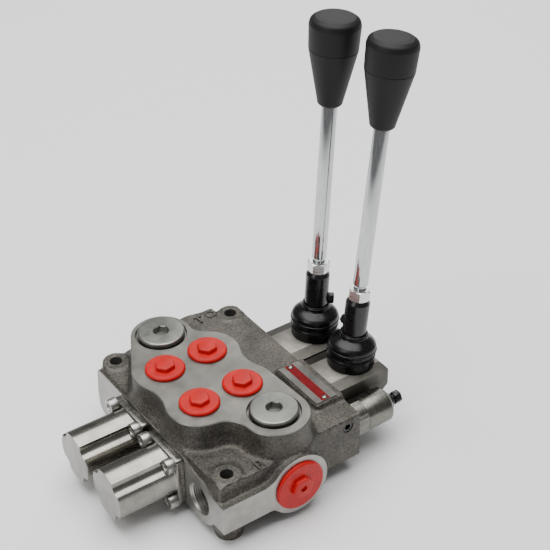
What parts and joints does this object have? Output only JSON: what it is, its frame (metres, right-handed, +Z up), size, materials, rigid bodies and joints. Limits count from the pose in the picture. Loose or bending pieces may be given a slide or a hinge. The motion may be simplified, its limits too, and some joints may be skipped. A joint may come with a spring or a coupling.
{
  "type": "hydraulic monoblock valve",
  "caption": "Monoblock hydraulic directional control valve with hand levers, spring-centred spools, work ports on top, and an adjustable relief valve.",
  "frame": {"origin": "midway between the two cap-end mounting holes, on the plane the feet stand on", "axes": "+Z up along the mounting holes, +X along the spools from the spring caps to the levers, -Y towards the inlet port"},
  "size_m": [0.2303, 0.1739, 0.2741],
  "materials": {
    "cast_iron": "satin",
    "red_plastic": "gloss",
    "zinc_steel": "satin",
    "screw_steel": "satin",
    "black_steel": "satin",
    "spring_steel": "satin",
    "ground_steel": "polished",
    "chrome_rod": "polished",
    "cast_aluminium": "satin",
    "plate_aluminium": "satin",
    "seal_rubber": "matte",
    "boot_rubber": "satin",
    "knob_plastic": "matte"
  },
  "bodies": {
    "housing": {"valve_body": "cast_iron", "port_plug_a1": "red_plastic", "port_plug_b1": "red_plastic", "port_plug_a2": "red_plastic", "port_plug_b2": "red_plastic", "inlet_port_plug": "red_plastic", "tank_port_plug": "red_plastic", "gallery_plug": "zinc_steel", "gallery_plug_seal": "seal_rubber", "check_valve_plug": "zinc_steel", "check_valve_plug_seal": "seal_rubber", "check_spring": "spring_steel", "nameplate": "plate_aluminium", "nameplate_rivets": "plate_aluminium", "set_plug": "black_steel", "relief_cartridge": "zinc_steel", "relief_seal": "seal_rubber", "relief_spring": "spring_steel", "relief_lock_nut": "black_steel", "cap_side_seal_1": "seal_rubber", "lever_side_seal_1": "seal_rubber", "spring_cap_1": "cast_aluminium", "cap_screws_1": "screw_steel", "inner_spring_seat_1": "ground_steel", "centring_spring_1": "spring_steel", "lever_box_1": "cast_aluminium", "box_screws_1": "screw_steel", "fulcrum_pin_1": "ground_steel", "lever_boot_1": "boot_rubber", "cap_side_seal_2": "seal_rubber", "lever_side_seal_2": "seal_rubber", "spring_cap_2": "cast_aluminium", "cap_screws_2": "screw_steel", "inner_spring_seat_2": "ground_steel", "centring_spring_2": "spring_steel", "lever_box_2": "cast_aluminium", "box_screws_2": "screw_steel", "fulcrum_pin_2": "ground_steel", "lever_boot_2": "boot_rubber"},
    "spool_1": {"spool_1": "ground_steel", "outer_spring_seat_1": "ground_steel", "spring_bolt_1": "screw_steel"},
    "lever_1": {"lever_hub_1": "black_steel", "hub_bolt_1": "black_steel", "lock_nut_1": "zinc_steel", "lever_rod_1": "chrome_rod", "lever_knob_1": "knob_plastic"},
    "spool_2": {"spool_2": "ground_steel", "outer_spring_seat_2": "ground_steel", "spring_bolt_2": "screw_steel"},
    "lever_2": {"lever_hub_2": "black_steel", "hub_bolt_2": "black_steel", "lock_nut_2": "zinc_steel", "lever_rod_2": "chrome_rod", "lever_knob_2": "knob_plastic"},
    "check_poppet": {"check_poppet": "ground_steel"},
    "relief_poppet": {"relief_poppet": "ground_steel"},
    "relief_spring_seat": {"relief_spring_seat": "ground_steel"},
    "relief_adjuster": {"relief_adjuster": "black_steel"}
  },
  "joints": [
    {"name": "lever_tilt_1", "type": "hinge", "parent": "housing", "child": "lever_1", "pos_m": [0.1298, 0.0205, 0.0475], "axis": [0, 1, 0], "range_deg": [-15, 15], "stiffness_Nm_per_rad": 4.5, "deforming": ["lever_boot_1"]},
    {"name": "spool_slide_1", "type": "slide", "parent": "housing", "child": "spool_1", "axis": [1, 0, 0], "range_m": [-0.0056, 0.0056], "deforming": ["centring_spring_1"]},
    {"name": "lever_tilt_2", "type": "hinge", "parent": "housing", "child": "lever_2", "pos_m": [0.1298, -0.0205, 0.0475], "axis": [0, 1, 0], "range_deg": [-15, 15], "stiffness_Nm_per_rad": 4.5, "deforming": ["lever_boot_2"]},
    {"name": "spool_slide_2", "type": "slide", "parent": "housing", "child": "spool_2", "axis": [1, 0, 0], "range_m": [-0.0056, 0.0056], "deforming": ["centring_spring_2"]},
    {"name": "check_lift", "type": "slide", "parent": "housing", "child": "check_poppet", "axis": [0, 0, 1], "range_m": [0, 0.004], "stiffness_N_per_m": 400, "springref_m": -0.004, "deforming": ["check_spring"]},
    {"name": "relief_lift", "type": "slide", "parent": "housing", "child": "relief_poppet", "axis": [1, 0, 0], "range_m": [0, 0.003], "stiffness_N_per_m": 500, "springref_m": -0.004, "deforming": ["relief_spring"]},
    {"name": "relief_setting_slide", "type": "slide", "parent": "housing", "child": "relief_spring_seat", "axis": [-1, 0, 0], "range_m": [0, 0.00125], "deforming": ["relief_spring"]},
    {"name": "relief_adjuster_turn", "type": "hinge", "parent": "relief_spring_seat", "child": "relief_adjuster", "pos_m": [0.1373, -0.0523, 0.0265], "axis": [-1, 0, 0], "range_deg": [0, 360]}
  ],
  "couplings": [
    {"joint": "spool_slide_1", "follows": "lever_tilt_1", "m_per_rad": -0.021},
    {"joint": "spool_slide_2", "follows": "lever_tilt_2", "m_per_rad": -0.021},
    {"joint": "relief_adjuster_turn", "follows": "relief_setting_slide", "rad_per_m": 5026.5}
  ]
}
